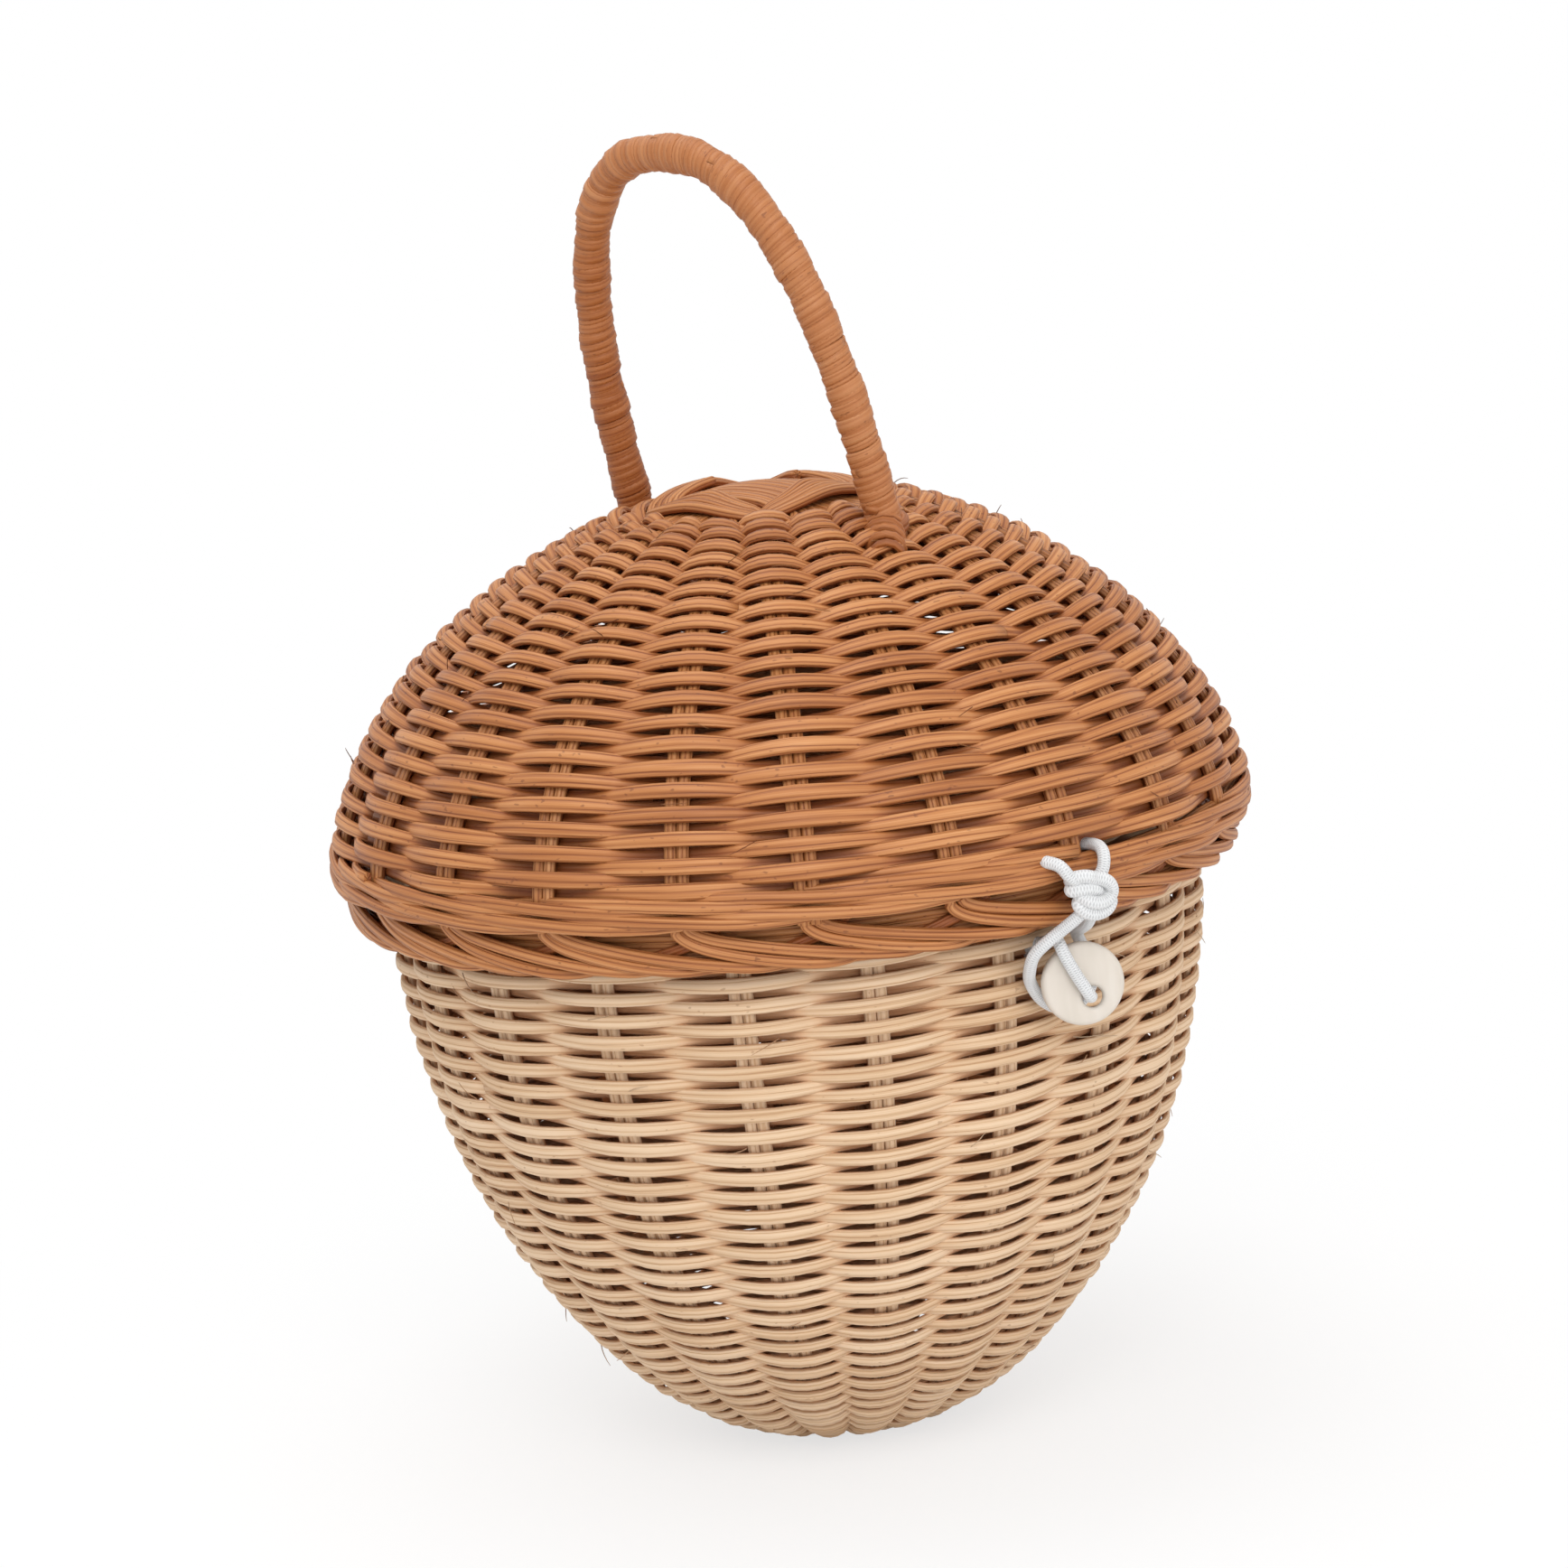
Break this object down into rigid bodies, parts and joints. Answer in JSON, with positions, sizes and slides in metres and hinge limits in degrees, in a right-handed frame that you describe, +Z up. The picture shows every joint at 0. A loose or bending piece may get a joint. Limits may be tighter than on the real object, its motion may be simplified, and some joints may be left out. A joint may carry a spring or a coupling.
{
  "type": "toy storage basket",
  "caption": "Round woven rattan basket with a hinged domed lid, an arch handle on the lid and a cord loop that closes over a wooden button.",
  "frame": {"origin": "middle of the flat base, on the surface the basket stands on", "axes": "+Z up through the crown of the lid, -Y towards the button closure, +Y towards the two hinge rings, +X to the right of the closure"},
  "size_m": [0.24, 0.2514, 0.3422],
  "materials": {
    "natural_reed": "round rattan reed, unstained, dry and matt with a faint sheen",
    "stained_reed": "round rattan reed, stained honey brown, satin",
    "stained_cane": "flat rattan peel, stained honey brown, satin",
    "elastic_cord": "white braided elastic cord, matt",
    "button_wood": "pale turned wood, sanded, matt"
  },
  "bodies": {
    "basket_body": {"body_weave": "natural_reed", "body_border": "natural_reed", "body_stakes_1": "natural_reed", "body_stakes_2": "natural_reed", "body_stakes_3": "natural_reed", "body_stakes_4": "natural_reed", "hinge_ring_left": "stained_cane", "hinge_ring_right": "stained_cane", "button_anchor_cord": "elastic_cord"},
    "lid": {"lid_weave": "stained_reed", "lid_border": "stained_reed", "lid_stakes_1": "stained_reed", "lid_stakes_2": "stained_reed", "lid_stakes_3": "stained_reed", "lid_stakes_4": "stained_reed", "handle_core": "stained_cane", "handle_binding": "stained_cane", "handle_tie_front": "stained_cane", "handle_tie_back": "stained_cane", "closure_anchor_cord": "elastic_cord", "closure_knot": "elastic_cord", "closure_loop": "elastic_cord"},
    "button": {"button": "button_wood", "button_cord": "elastic_cord"}
  },
  "joints": [
    {"name": "lid_hinge", "type": "hinge", "parent": "basket_body", "child": "lid", "pos_m": [0, 0.11, 0.1485], "axis": [-1, 0, 0], "range_deg": [0, 110], "deforming": ["closure_loop"]},
    {"name": "button_sway", "type": "hinge", "parent": "basket_body", "child": "button", "pos_m": [-0.0039, -0.1071, 0.1436], "axis": [0.453, 0, -0.8915], "range_deg": [-12, 0], "deforming": ["button_cord", "closure_loop"]}
  ]
}
